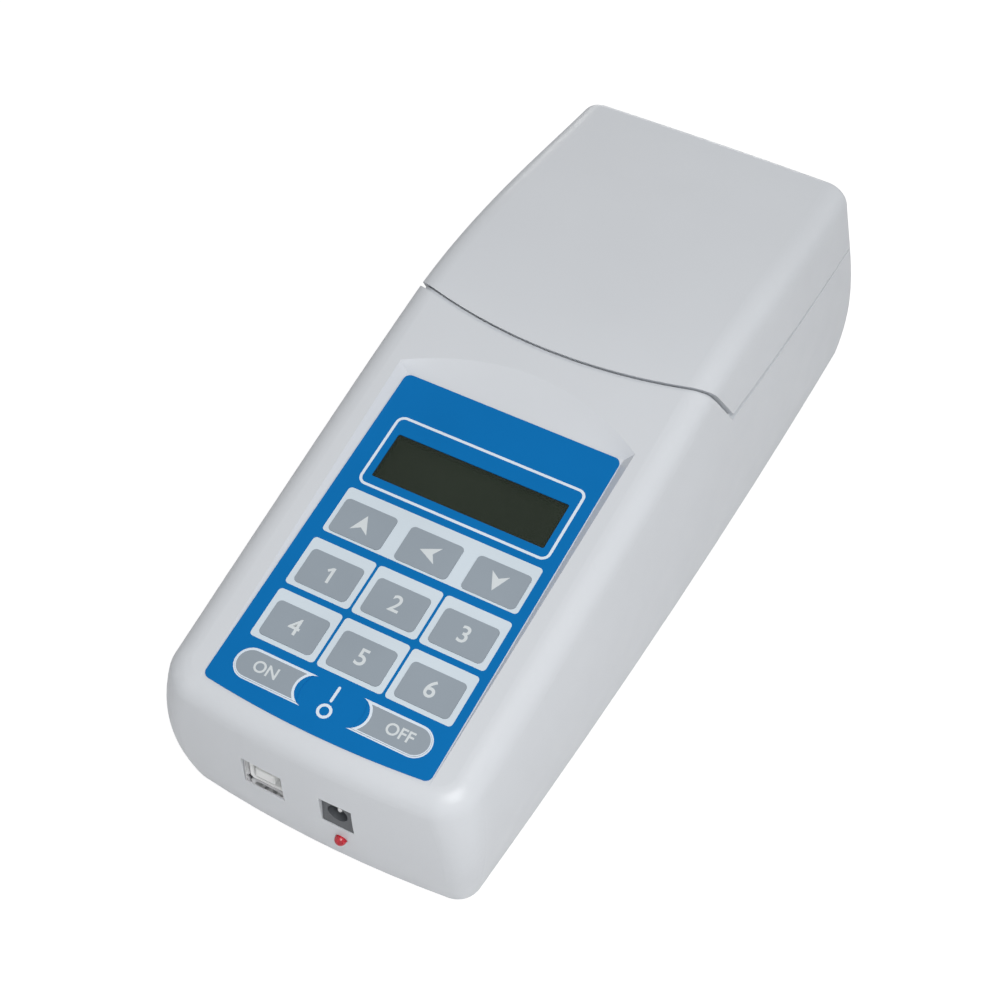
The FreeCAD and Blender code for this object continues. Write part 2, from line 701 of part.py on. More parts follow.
def light_shield():
    """Cap under the lid that surrounds the head of the sample tube."""
    centre = V(0, WELL_STATION, 0)
    wall = ring(SHIELD_R, SHIELD_R - SHIELD_T, centre + V(0, 0, SHIELD_LOW), centre + V(0, 0, SHIELD_TOP))
    roof = rod(SHIELD_R, centre + V(0, 0, SHIELD_TOP - SHIELD_T), centre + V(0, 0, SHIELD_TOP))
    cap = wall.fuse(roof)
    for x, y in shield_screw_spots():
        cap = cap.fuse(rod(3.6, V(x, y, SHIELD_TOP - SHIELD_T), V(x, y, SHIELD_TOP)))
        cap = cap.cut(rod(1.6, V(x, y, SHIELD_TOP - 9), V(x, y, SHIELD_TOP + 1)))
    return cap.removeSplitter()


def shield_screws():
    return Part.makeCompound([screw(2.4, 1.5, SCREW_R, 5.5).translated(V(x, y, SHIELD_TOP - SHIELD_T))
                              for x, y in shield_screw_spots()])


def light_seal():
    centre = V(0, WELL_STATION, 0)
    low, high = centre + V(0, 0, DECK_TOP), centre + V(0, 0, DECK_TOP + SEAL_T)
    return ring(SHIELD_R + 1, SHIELD_R - SHIELD_T - 1, low, high)


def well_ring():
    """Trim ring round the mouth of the sample well, bevelled to lead the tube in."""
    centre = V(0, WELL_STATION, DECK_TOP)
    collar = ring(20.0, WELL_R + 0.3, centre, centre + V(0, 0, 3))
    lead_in = Part.makeCone(WELL_R + 0.3, WELL_R + 2.3, 2.0, centre + V(0, 0, 1.01))
    rim = Part.makeCone(20.0, 18.5, 1.5, centre + V(0, 0, 1.5)).fuse(rod(20.0, centre, centre + V(0, 0, 1.5)))
    return collar.common(rim).cut(lead_in)


def cell_screw_spots():
    return [(x, WELL_STATION + y) for x in (-FLANGE_SCREW, FLANGE_SCREW)
            for y in (-FLANGE_SCREW, FLANGE_SCREW)]


def cell_block():
    """Optical block: the sample well with a beam arm to either side."""
    centre = V(0, WELL_STATION, 0)
    tube = rod(WELL_TUBE_R, centre + V(0, 0, WELL_FLOOR - 2.4), centre + V(0, 0, DECK_TOP))
    flange = slab(rounded_face(2 * FLANGE_HALF, 2 * FLANGE_HALF, 4.0), FLANGE_TOP - 3,
                  FLANGE_TOP).translated(centre)
    half = ARM_W / 2
    near, far = WELL_STATION - half, WELL_STATION + half
    arm = box(-ARM_END, ARM_END, near, far, BEAM_HEIGHT - half, BEAM_HEIGHT + half)
    block = tube.fuse(flange).fuse(arm)
    for side in (-1, 1):
        x0, x1 = sorted((side * (ARM_END - 3), side * ARM_END))
        block = block.fuse(box(x0, x1, near, far, BEAM_HEIGHT - PLATE_DOWN, BEAM_HEIGHT + PLATE_UP))
        start = V(side * BORE_END, WELL_STATION, BEAM_HEIGHT)
        end = V(side * (ARM_END + 1), WELL_STATION, BEAM_HEIGHT)
        block = block.cut(rod(ARM_BORE_R, start, end))
        for x, y, z in arm_screw_spots(side):
            block = block.cut(rod(1.1, V(x, y, z), V(x - side * 2.4, y, z)))
    block = block.cut(rod(BEAM_R, V(-20, WELL_STATION, BEAM_HEIGHT), V(20, WELL_STATION, BEAM_HEIGHT)))
    block = block.cut(rod(WELL_R, centre + V(0, 0, WELL_FLOOR), centre + V(0, 0, 80)))
    for x, y in cell_screw_spots():
        block = block.cut(rod(1.7, V(x, y, 30), V(x, y, 50)))
    return block.removeSplitter()


def cell_screws():
    return Part.makeCompound([screw(2.6, 1.5, SCREW_R, 8.0).translated(V(x, y, FLANGE_TOP - 3))
                              for x, y in cell_screw_spots()])


def arm_screw_spots(side):
    return [(side * ARM_END, WELL_STATION, BEAM_HEIGHT + z) for z in (-10.4, 9.4)]


def beam_point(x):
    return V(x, WELL_STATION, BEAM_HEIGHT)


def optics_board(side):
    """Small board screwed across the end of a beam arm."""
    x0, x1 = sorted((side * ARM_END, side * (ARM_END + BOARD_T)))
    half = ARM_W / 2
    board = box(x0, x1, WELL_STATION - half, WELL_STATION + half, BEAM_HEIGHT - PLATE_DOWN,
                BEAM_HEIGHT + PLATE_UP)
    for x, y, z in arm_screw_spots(side):
        board = board.cut(rod(1.1, V(x - side * 3, y, z), V(x + side * 3, y, z)))
    return board


def optics_screws():
    fasteners = []
    for side in (-1, 1):
        for x, y, z in arm_screw_spots(side):
            seat = side * (ARM_END + BOARD_T)
            head = rod(1.9, V(seat, y, z), V(seat + side * 1.3, y, z))
            shank = rod(0.95, V(seat, y, z), V(seat - side * 3.6, y, z))
            fasteners.append(head.fuse(shank).removeSplitter())
    return Part.makeCompound(fasteners)


def lamp_led():
    """Round lamp: a domed body with a rim at its rear and two leads to its board."""
    body = rod(2.5, beam_point(-27.0), beam_point(-22.5))
    dome = Part.makeSphere(2.5, beam_point(-22.5))
    rim = rod(2.9, beam_point(-28.0), beam_point(-27.0))
    lamp = body.fuse(dome).fuse(rim)
    for y in (-1.27, 1.27):
        lamp = lamp.fuse(rod(0.25, beam_point(-28.0) + V(0, y, 0), beam_point(-ARM_END) + V(0, y, 0)))
    return lamp.removeSplitter()


def lamp_holder():
    return ring(OPTIC_R, 2.55, beam_point(-27.0), beam_point(-19.2))


def collimating_lens():
    """Flat towards the lamp, domed towards the well."""
    reach = math.sqrt(LENS_R ** 2 - BEAM_R ** 2) + 0.01
    ball = Part.makeSphere(LENS_R, beam_point(-BORE_END - reach))
    return ball.common(rod(OPTIC_R, beam_point(-17.2), beam_point(-14.0)))


def colour_filter():
    return rod(OPTIC_R, beam_point(-19.2), beam_point(-17.2))


def detector():
    """Metal can with a window towards the well and two leads to its board."""
    front, back = BORE_END, BORE_END + 4.0
    can = rod(3.9, beam_point(front), beam_point(back))
    can = can.fuse(rod(OPTIC_R, beam_point(back - 0.6), beam_point(back)))
    can = can.cut(rod(2.2, beam_point(front - 1), beam_point(front + 0.5)))
    for y in (-1.27, 1.27):
        can = can.fuse(rod(0.25, beam_point(back) + V(0, y, 0), beam_point(ARM_END) + V(0, y, 0)))
    return can.removeSplitter()


def detector_sleeve():
    return ring(OPTIC_R, 2.2, beam_point(BORE_END + 4.0), beam_point(ARM_END))


def io_board():
    board = box(-24, 22, -0.8, 31, IO_BOARD_TOP - BOARD_T, IO_BOARD_TOP)
    for x, y in IO_POSTS:
        board = board.cut(rod(PILOT_R, V(x, y, 10), V(x, y, 30)))
    return board


def io_screws():
    fasteners = []
    for x, y in IO_POSTS:
        fastener = screw(2.4, 1.5, SCREW_R, 7.0)
        fastener.rotate(V(0, 0, 0), X_AXIS, 180)
        fasteners.append(fastener.translated(V(x, y, IO_BOARD_TOP)))
    return Part.makeCompound(fasteners)


def socket_prism(x, height, width, tall, bevel, y0, y1):
    """Socket outline with its two upper corners cut off, run back from the front."""
    half, up = width / 2, tall / 2
    points = [V(x - half, y0, height - up), V(x + half, y0, height - up),
              V(x + half, y0, height + up - bevel), V(x + half - bevel, y0, height + up),
              V(x - half + bevel, y0, height + up), V(x - half, y0, height + up - bevel)]
    return Part.Face(Part.makePolygon(points + points[:1])).extrude(V(0, y1 - y0, 0))


def usb_shell():
    """Folded sheet shell of the square data socket, open to the front."""
    y0, y1 = SOCKET_FACE, SOCKET_FACE + USB_DEPTH
    outside = socket_prism(USB_X, USB_HEIGHT, USB_W, USB_H, 1.6, y0, y1)
    inside = socket_prism(USB_X, USB_HEIGHT, USB_W - 0.8, USB_H - 0.8, 1.5, y0 - 1, y1 - 0.4)
    return outside.cut(inside)


def usb_core():
    """Moulded core: a rear block, a sleeve and the tongue that carries the contacts."""
    y0, y1 = SOCKET_FACE + 0.3, SOCKET_FACE + USB_DEPTH - 0.5
    block = socket_prism(USB_X, USB_HEIGHT, USB_W - 0.9, USB_H - 0.9, 1.5, y0, y1)
    mouth = socket_prism(USB_X, USB_HEIGHT, 8.6, 7.9, 1.4, y0 - 1, y0 + 9.2)
    tongue = box(USB_X - 2.8, USB_X + 2.8, y0 + 0.9, y0 + 9.3, USB_HEIGHT - 1.6, USB_HEIGHT + 1.6)
    return block.cut(mouth).fuse(tongue).removeSplitter()


def dc_jack():
    """Moulded power jack with a round mouth."""
    y0 = SOCKET_FACE
    half, up = DC_W / 2, DC_H / 2
    body = box(DC_X - half, DC_X + half, y0, y0 + DC_DEPTH, DC_HEIGHT - up, DC_HEIGHT + up)
    mouth = DC_HEIGHT + DC_MOUTH_UP
    body = body.cut(rod(3.0, V(DC_X, y0 - 1, mouth), V(DC_X, y0 + 9.5, mouth)))
    return body.cut(rod(1.0, V(DC_X, y0, mouth), V(DC_X, y0 + 12, mouth)))


def dc_pin():
    mouth = DC_HEIGHT + DC_MOUTH_UP
    pin = rod(1.0, V(DC_X, SOCKET_FACE + 1.4, mouth), V(DC_X, SOCKET_FACE + 12, mouth))
    tip = [e for e in pin.Edges if len(e.Vertexes) == 1 and e.CenterOfMass.y < SOCKET_FACE + 3]
    return pin.makeFillet(0.6, tip)


def charge_lamp():
    """Small round lamp under the power jack, its leads bent up to the socket board."""
    tip = -3.5
    lamp = rod(LAMP_R, V(DC_X, tip, LAMP_HEIGHT), V(DC_X, 2.2, LAMP_HEIGHT))
    lamp = lamp.fuse(Part.makeSphere(LAMP_R, V(DC_X, tip, LAMP_HEIGHT)))
    lamp = lamp.fuse(rod(LAMP_R + 0.4, V(DC_X, 1.2, LAMP_HEIGHT), V(DC_X, 2.2, LAMP_HEIGHT)))
    for x in (DC_X - 1.0, DC_X + 1.0):
        lamp = lamp.fuse(rod(0.25, V(x, 2.2, LAMP_HEIGHT), V(x, 6.0, LAMP_HEIGHT)))
        lamp = lamp.fuse(rod(0.25, V(x, 5.8, LAMP_HEIGHT - 0.2), V(x, 5.8, IO_BOARD_TOP - BOARD_T)))
    return lamp.removeSplitter()


def battery_cells():
    height = BASE_T + CELL_R
    cells = []
    for i in range(CELL_COUNT):
        y = CELL_START + i * CELL_PITCH
        can = rod(CELL_R, V(-CELL_LENGTH / 2, y, height), V(CELL_LENGTH / 2, y, height))
        side = 1 if i % 2 == 0 else -1
        tip = rod(2.6, V(side * CELL_LENGTH / 2, y, height), V(side * (CELL_LENGTH / 2 + 1), y, height))
        cells.append(can.fuse(tip).removeSplitter())
    return Part.makeCompound(cells)


def battery_strap():
    """Bent strip over the row of cells, screwed down at both ends."""
    low, high = STRAP_POST_TOP, BASE_T + 2 * CELL_R + 0.2
    front, rear = CELL_START - CELL_R - 0.5, CELL_START + 4 * CELL_PITCH + CELL_R + 0.5
    start, end = STRAP_POSTS[0][1] - 3.0, STRAP_POSTS[1][1] + 3.0
    t = 1.0
    strip = ((start, low), (front, low), (front, high), (rear, high), (rear, low), (end, low),
             (end, low + t), (rear + t, low + t), (rear + t, high + t), (front - t, high + t),
             (front - t, low + t), (start, low + t))
    strap = prism(strip, -6, 6)
    for x, y in STRAP_POSTS:
        strap = strap.cut(rod(PILOT_R, V(x, y, 0), V(x, y, 20)))
    return strap


def strap_screws():
    fasteners = []
    for x, y in STRAP_POSTS:
        fastener = screw(2.3, 1.4, SCREW_R, 4.0)
        fastener.rotate(V(0, 0, 0), X_AXIS, 180)
        fasteners.append(fastener.translated(V(x, y, STRAP_POST_TOP + 1.0)))
    return Part.makeCompound(fasteners)


def save(name, shape):
    shape = shape.translated(V(0, -MID_STATION, FOOT_DROP))
    shape.exportStep("parts/" + name + ".step")


os.makedirs("parts", exist_ok=True)

for piece in (main_housing, base_plate, rubber_feet, base_screws, lid, hinge_pin, light_shield,
              shield_screws, light_seal, well_ring, cell_block, cell_screws, optics_screws, lamp_led,
              lamp_holder, collimating_lens, colour_filter, detector, detector_sleeve, io_board,
              io_screws, usb_shell, usb_core, dc_jack, dc_pin, charge_lamp, battery_cells,
              battery_strap, strap_screws):
    save(piece.__name__, piece())

for piece in (keypad_overlay, keypad_spacer, keypad_circuit, switch_domes, lcd_window, lcd_bezel,
              lcd_glass, lcd_board, lcd_screws, main_board, board_chips, main_board_screws):
    save(piece.__name__, on_panel(piece()))

for key_name, key_outline in KEYS.items():
    save(key_name, on_panel(key_body(key_outline)))

save("lamp_board", optics_board(-1))
save("detector_board", optics_board(1))
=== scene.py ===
import json
import math

import bmesh
import bpy
from mathutils import Matrix, Vector


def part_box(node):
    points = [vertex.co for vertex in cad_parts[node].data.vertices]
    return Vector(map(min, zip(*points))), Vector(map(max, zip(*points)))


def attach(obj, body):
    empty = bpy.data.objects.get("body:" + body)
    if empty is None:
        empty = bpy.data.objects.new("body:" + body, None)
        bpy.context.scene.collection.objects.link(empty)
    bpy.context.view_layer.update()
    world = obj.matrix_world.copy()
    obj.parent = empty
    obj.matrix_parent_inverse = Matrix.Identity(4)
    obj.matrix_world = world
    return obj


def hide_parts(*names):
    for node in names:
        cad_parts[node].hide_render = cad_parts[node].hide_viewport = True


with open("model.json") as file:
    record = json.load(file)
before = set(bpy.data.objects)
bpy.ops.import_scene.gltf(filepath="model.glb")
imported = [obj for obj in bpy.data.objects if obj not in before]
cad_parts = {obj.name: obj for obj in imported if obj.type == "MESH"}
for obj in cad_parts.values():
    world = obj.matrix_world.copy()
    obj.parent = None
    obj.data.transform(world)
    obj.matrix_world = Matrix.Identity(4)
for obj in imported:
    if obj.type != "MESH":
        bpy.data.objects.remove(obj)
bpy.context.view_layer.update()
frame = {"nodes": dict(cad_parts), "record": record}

MM = 0.001

# The keypad slope: across, up the slope and out of it, from the middle of the film's lower edge
PANEL_TILT = math.radians(10.7)
PANEL_PLACE = (0.0, -120.47 * MM, 52.57 * MM)
PANEL = Matrix.Translation(PANEL_PLACE) @ Matrix.Rotation(PANEL_TILT, 4, "X")

# Print on the film and the keys, in millimetres. A frame here is its left, right, low and high edge. The
# print on the film stops at a gap round each cap, and a cap's face is all within the cap level of its top.
INK = 0.03
FRAME_W = 19.5
FRAME_CORNER = 1.1
FRAME_ABOVE = 3.2
FRAME_BELOW = 1.35
ARROW_FRAME = (-28.6, 30.6, 50.8, 65.9)
DISPLAY_FRAME = (-28.2, 30.2, 68.1, 92.2)
DISPLAY_CORNER = 2.6
LINE_W = 0.8
KEY_CORNER = 1.4
KEY_GAP = 0.05
CAP_LEVEL = 0.01

# The two pill keys: the middle between them, their border on the film and on the key, the circle that a
# key's inner edge is cut to, and the smaller one, farther out, of the hollow that is printed. A blue skirt
# lies along the edge and a blue cover over the gap beside it.
PILL_MIDDLE = 0.5
PILL_BORDER = 0.45
PILL_BORDER_IN = 0.3
PILL_CUT_R = 9.1
PILL_NOTCH_OUT = 5.7
PILL_NOTCH_R = 4.8
PILL_NOTCH_BORDER = 0.7
SKIRT = 0.04
GAP_COVER = 0.15
PILL_STEPS = 16
CUT_STEPS = 12
TIP_STEPS = 4

# Signs, letters and digits; the wing's width and the tail's notch are shares of the arrow's half size
ARROW_SIZE = 5.5
ARROW_WING = 0.95
ARROW_NOTCH = 0.42
DIGIT_SIZE = 7.0
DIGIT_ONE = ((0.85, -2.4), (0.85, 2.4), (0.1, 2.4), (-1.25, 1.35), (-0.8, 0.75), (0.0, 1.35), (0.0, -2.4))
WORD_SIZE = 4.6
LETTER_BOLD = 0.08
MARK_LINE = ((0.2, 8.2), (0.3, 12.3))
MARK_RING = (0.1, 5.0)
MARK_RING_R = 2.1
MARK_END_STEPS = 6
MARK_RING_STEPS = 24

# Core of the data socket, in millimetres: a sleeve behind the shell's edge and a tongue with contacts
CORE_CORNER = 1.5
CORE_EDGE = 0.15
SLEEVE_BACK = 1.2
MOUTH_W = 8.6
MOUTH_H = 7.9
MOUTH_DEPTH = 9.2
TONGUE_W = 6.0
TONGUE_H = 3.4
TONGUE_CORNER = 0.3
TONGUE_EDGE = 0.4
TONGUE_BACK = 0.1
CONTACT_W = 1.1
CONTACT_T = 0.16
CONTACT_APART = 2.5
CONTACT_BACK = 1.0

# How far the power jack's pin ends behind its face, in millimetres
PIN_BACK = 0.7

# The red lamp's collar and lens, in millimetres
COLLAR_W = 0.4
COLLAR_PLACE = (6.4, 7.4)
LENS_FORWARD = 0.45
LEG_R = 0.25
LEG_APART = 2.0

# Turned pieces: steps round the axis, welding distance in metres and least angle of a sharp edge
TURN_STEPS = 32
WELD = 1e-7
SHARP = math.radians(40)

# The room's light: its tint, and its strength from the left and from the right
LIGHT_TINT = (0.975, 0.985, 1.0, 1)
LIGHT_LEFT = 0.30
LIGHT_RIGHT = 0.49

# Two area lamps, in metres and watts: place, size and power
LAMP_TARGET = (0, 0, 0.04)
LAMPS = {
    "key_lamp": ((0.38, -0.42, 0.77), (0.5, 0.5), 5.3),
    "rear_lamp": ((-0.45, 1.0, 0.14), (0.6, 0.3), 1.5),
}

# The floor, in metres: its half size and how far it lies below the feet. It is pale to the light, and to
# the camera it is a glow with a faint shade over it.
FLOOR_HALF = 3.0
FLOOR_BELOW = 0.00002
FLOOR_PALE = (0.82, 0.82, 0.82, 1)
FLOOR_SHADE = (0.3, 0.3, 0.3, 1)
FLOOR_GLOW = 0.86

# Noise lies mostly between the first two values; colours run over a slightly narrower range
NOISE_LOW = 0.3
NOISE_HIGH = 0.7
RAMP_LOW = 0.32
RAMP_HIGH = 0.68

# Camera, found from the object's edges in the photograph
CAMERA_PLACE = (0.17407, -0.35428, 0.46072)
CAMERA_AZIMUTH = math.radians(27.73)
CAMERA_ELEVATION = math.radians(48.12)
CAMERA_ROLL = math.radians(1.45)
LENS = 71.25
SENSOR = 36.0


def linear(red, green, blue):
    """A colour as seen, 0 to 255, in the shader's linear values."""
    seen = [c / 255 for c in (red, green, blue)]
    return tuple(c / 12.92 if c <= 0.04045 else ((c + 0.055) / 1.055) ** 2.4 for c in seen)


class Surface:
    """A procedural material: one shader, fed by noise in the object's own coordinates."""

    def __init__(self, name, roughness, **constants):
        self.material = bpy.data.materials.new(name)
        self.material.use_nodes = True
        self.tree = self.material.node_tree
        self.shader = self.tree.nodes["Principled BSDF"]
        self.shader.inputs["Roughness"].default_value = roughness
        for label, value in constants.items():
            self.shader.inputs[label.replace("_", " ")].default_value = value
        self.place = self.tree.nodes.new("ShaderNodeTexCoord").outputs["Object"]
        self.height = None

    def link(self, source, target):
        self.tree.links.new(source, target)

    def noise(self, size, detail=2.0, stretch=(1, 1, 1)):
        """Noise with features of about this size in metres, stretched along the axes."""
        mapping = self.tree.nodes.new("ShaderNodeMapping")
        mapping.inputs["Scale"].default_value = [1 / s for s in stretch]
        self.link(self.place, mapping.inputs["Vector"])
        texture = self.tree.nodes.new("ShaderNodeTexNoise")
        texture.inputs["Scale"].default_value = 1 / size
        texture.inputs["Detail"].default_value = detail
        self.link(mapping.outputs["Vector"], texture.inputs["Vector"])
        return texture.outputs["Fac"]

    def spread(self, source, low, high):
        """Noise spread between two values."""
        node = self.tree.nodes.new("ShaderNodeMapRange")
        node.inputs["From Min"].default_value = NOISE_LOW
        node.inputs["From Max"].default_value = NOISE_HIGH
        node.inputs["To Min"].default_value = low
        node.inputs["To Max"].default_value = high
        self.link(source, node.inputs["Value"])
        return node.outputs["Result"]

    def colours(self, source, first, second):
        """The base colour, between two colours by the noise."""
        ramp = self.tree.nodes.new("ShaderNodeValToRGB")
        low, high = ramp.color_ramp.elements
        low.position = RAMP_LOW
        low.color = (*first, 1)
        high.position = RAMP_HIGH
        high.color = (*second, 1)
        self.link(source, ramp.inputs["Fac"])
        self.link(ramp.outputs["Color"], self.shader.inputs["Base Color"])

    def shine(self, source, low, high):
        """The roughness, between two values by the noise."""
        self.link(self.spread(source, low, high), self.shader.inputs["Roughness"])

    def relief(self, source, depth):
        """Adds a bump of this depth in metres to the ones added before."""
        bump = self.tree.nodes.new("ShaderNodeBump")
        bump.inputs["Distance"].default_value = depth
        bump.inputs["Strength"].default_value = 1.0
        self.link(source, bump.inputs["Height"])
        if self.height:
            self.link(self.height, bump.inputs["Normal"])
        self.height = bump.outputs["Normal"]
        self.link(self.height, self.shader.inputs["Normal"])


def moulded(name, colour, roughness, grain=0.00035, depth=0.000006, tone=0.03):
    """Injection-moulded plastic: spark-eroded grain, faint flow marks and uneven shine."""
    surface = Surface(name, roughness, Specular_IOR_Level=0.45)
    lighter = [min(1.0, c * (1 + tone)) for c in colour]
    darker = [c * (1 - tone) for c in colour]
    surface.colours(surface.noise(size=0.045, detail=3.0), darker, lighter)
    surface.shine(surface.noise(size=0.012, detail=4.0), roughness * 0.88, roughness * 1.12)
    surface.relief(surface.noise(size=0.03, detail=1.0), depth * 3)
    surface.relief(surface.noise(grain, detail=3.0), depth)
    return surface.material


def film(name, colour, roughness, specular, tone=0.04):
    """Printed plastic film: a fine velvet grain over an even colour."""
    surface = Surface(name, roughness, Specular_IOR_Level=specular)
    surface.colours(surface.noise(size=0.02), [c * (1 - tone) for c in colour], colour)
    surface.shine(surface.noise(size=0.006, detail=3.0), roughness * 0.9, roughness * 1.1)
    surface.relief(surface.noise(size=0.00025), depth=0.000004)
    return surface.material


def metal(name, colour, roughness, stretch=(1, 1, 1), grain=0.0006):
    """Rolled or turned metal, with the grain of its making along one axis."""
    surface = Surface(name, roughness, Metallic=1.0)
    darker = [c * 0.86 for c in colour]
    surface.colours(surface.noise(size=0.003, detail=3.0, stretch=stretch), darker, colour)
    surface.shine(surface.noise(grain, detail=3.0, stretch=stretch), roughness * 0.7, roughness * 1.3)
    surface.relief(surface.noise(grain, stretch=stretch), depth=0.000004)
    return surface.material


def soft(name, colour, roughness, grain, depth):
    """Rubber or foam: matt, with pores or a fine grain."""
    surface = Surface(name, roughness, Specular_IOR_Level=0.25)
    darker = [c * 0.7 for c in colour]
    lighter = [c * 1.3 for c in colour]
    surface.colours(surface.noise(grain * 3, detail=4.0), darker, lighter)
    surface.shine(surface.noise(size=0.004, detail=3.0), roughness * 0.9, min(1.0, roughness * 1.1))
    surface.relief(surface.noise(grain, detail=4.0), depth)
    return surface.material


def clear(name, colour, roughness, alpha, specular=0.5):
    """Thin clear or smoked plastic or glass, with faint smears in its shine."""
    surface = Surface(name, roughness, Alpha=alpha, Specular_IOR_Level=specular)
    surface.colours(surface.noise(size=0.015, detail=3.0), colour, [c * 1.15 for c in colour])
    surface.shine(surface.noise(size=0.008, detail=4.0), roughness * 0.7, roughness * 1.5)
    return surface.material


def board_surface(name):
    """Solder mask over copper: green, with slightly lighter tracks."""
    surface = Surface(name, roughness=0.35, Specular_IOR_Level=0.5)
    tracks = surface.noise(size=0.0018, detail=1.0, stretch=(6, 1, 1))
    surface.colours(tracks, linear(18, 74, 42), linear(34, 104, 60))
    surface.relief(tracks, depth=0.00002)
    surface.shine(surface.noise(size=0.005), low=0.28, high=0.42)
    return surface.material


def red_lens(name):
    """Tinted lens of the small lamp: glossy, slightly translucent, with a faint painted glow that
    brightens its red.
    """
    # The faint emission below is a painted glow that brightens the lens's red.
    surface = Surface(name, roughness=0.16, Specular_IOR_Level=0.6, Subsurface_Weight=0.2,
                      Subsurface_Scale=0.002, Emission_Strength=0.04)
    surface.shader.inputs["Emission Color"].default_value = (*linear(255, 30, 40), 1)
    surface.colours(surface.noise(size=0.0012), linear(150, 10, 30), linear(192, 22, 46))
    surface.shine(surface.noise(size=0.0008), low=0.1, high=0.22)
    return surface.material


BODY_WHITE = linear(210, 213, 217)

SURFACES = {
    "housing_plastic": moulded("housing_plastic", BODY_WHITE, 0.36, tone=0.012),
    "lid_plastic": moulded("lid_plastic", BODY_WHITE, 0.36, tone=0.012),
    "black_plastic": moulded("black_plastic", linear(34, 34, 36), 0.55),
    "dark_plastic": moulded("dark_plastic", linear(84, 87, 91), 0.5),
    "white_plastic": moulded("white_plastic", linear(232, 233, 232), 0.35),
    "keypad_film": film("keypad_film", linear(14, 112, 180), 0.42, 0.04),
    "key_grey": film("key_grey", linear(150, 160, 169), 0.45, 0.2),
    "spacer_film": film("spacer_film", linear(70, 72, 74), 0.6, 0.3),
    "window": clear("window", linear(50, 58, 48), 0.14, 0.5, 0.12),
    "glass": clear("glass", linear(225, 232, 228), 0.05, 0.3),
    "lcd": clear("lcd", linear(60, 69, 57), 0.3, 1.0, 0.1),
    "board": board_surface("board"),
    "chip": moulded("chip", linear(30, 30, 32), 0.5),
    "black_metal": moulded("black_metal", linear(30, 31, 33), 0.45),
    "spring_steel": metal("spring_steel", linear(188, 188, 190), 0.3, (8, 1, 1)),
    "plated_steel": metal("plated_steel", linear(214, 214, 216), 0.18, (1, 6, 1)),
    "screw_steel": metal("screw_steel", linear(176, 178, 182), 0.32),
    "cell_wrap": film("cell_wrap", linear(44, 132, 82), 0.3, 0.4),
    "rubber": soft("rubber", linear(38, 38, 40), 0.8, 0.0004, 0.00002),
    "foam": soft("foam", linear(34, 34, 36), 0.95, 0.0006, 0.0001),
    "red_lens": red_lens("red_lens"),
}
INK_PALE = film("ink_pale", linear(212, 223, 231), 0.45, 0.15)
INK_WHITE = film("ink_white", linear(222, 232, 242), 0.45, 0.15)
INK_LEGEND = film("ink_legend", linear(214, 220, 222), 0.45, 0.15)


def dress_nodes():
    """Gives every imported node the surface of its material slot."""
    for entry in frame["record"]["subparts"]:
        mesh = frame["nodes"][entry["node"]].data
        mesh.materials.clear()
        mesh.materials.append(SURFACES[entry["material_slot"]])


def arc(centre, radius, start, end, steps=8):
    """Points along an arc, angles in degrees."""
    angles = [math.radians(start + (end - start) * i / steps) for i in range(steps + 1)]
    return [(centre[0] + radius * math.cos(a), centre[1] + radius * math.sin(a)) for a in angles]


def circle(centre, radius, steps):
    """Points of a closed circle."""
    return arc(centre, radius, 0, 360 * (steps - 1) / steps, steps - 1)


def rounded(left, right, low, high, radius):
    """Outline of a rectangle with round corners."""
    points = arc((right - radius, high - radius), radius, 0, 90)
    points += arc((left + radius, high - radius), radius, 90, 180)
    points += arc((left + radius, low + radius), radius, 180, 270)
    points += arc((right - radius, low + radius), radius, 270, 360)
    return points


def panel_points(node):
    """A node's vertices as the panel has them, in metres."""
    return [PANEL.inverted() @ v.co for v in frame["nodes"][node].data.vertices]


def key_top(node):
    """Height of a key's cap over the film's face, in metres."""
    return max(p.z for p in panel_points(node))


def key_span(node):
    """Left, right, low and high of a key's cap, in panel millimetres."""
    top = key_top(node)
    cap = [p / MM for p in panel_points(node) if p.z > top - CAP_LEVEL * MM]
    return min(p.x for p in cap), max(p.x for p in cap), min(p.y for p in cap), max(p.y for p in cap)


def key_outline(node, grow):
    """A key's cap outline on the panel, grown by this much."""
    left, right, low, high = key_span(node)
    return rounded(left - grow, right + grow, low - grow, high + grow, KEY_CORNER + grow)


def plate(name, outlines, thickness, edge=0.0):
    """A flat plate with holes: closed outlines in millimetres, with rounded edges if asked."""
    curve = bpy.data.curves.new(name, "CURVE")
    curve.dimensions = "2D"
    curve.fill_mode = "BOTH"
    curve.extrude = thickness * MM / 2 - edge * MM
    curve.bevel_depth = edge * MM
    curve.bevel_resolution = 2
    curve.offset = -edge * MM
    for points in outlines:
        spline = curve.splines.new("POLY")
        spline.points.add(len(points) - 1)
        for point, (x, y) in zip(spline.points, points):
            point.co = (x * MM, y * MM, 0, 1)
        spline.use_cyclic_u = True
    return curve


def print_on(name, outlines, surface, body, height):
    """A layer of ink: closed outlines in panel millimetres, holes inside their outer outline."""
    place = PANEL @ Matrix.Translation((0, 0, height + INK * MM / 2))
    settle(name, plate(name, outlines, INK), place, surface, body)


def settle(name, curve, place, surface, body):
    """Turns a curve or text into a mesh in the frame, and lets it ride on its body."""
    source = bpy.data.objects.new(name + "_source", curve)
    bpy.context.scene.collection.objects.link(source)
    bpy.context.view_layer.update()
    evaluated = source.evaluated_get(bpy.context.evaluated_depsgraph_get())
    mesh = bpy.data.meshes.new_from_object(evaluated)
    bpy.data.objects.remove(source)
    mesh.transform(place)
    mesh.materials.clear()
    mesh.materials.append(surface)
    piece = bpy.data.objects.new(name, mesh)
    bpy.context.scene.collection.objects.link(piece)
    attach(piece, body)
    return piece


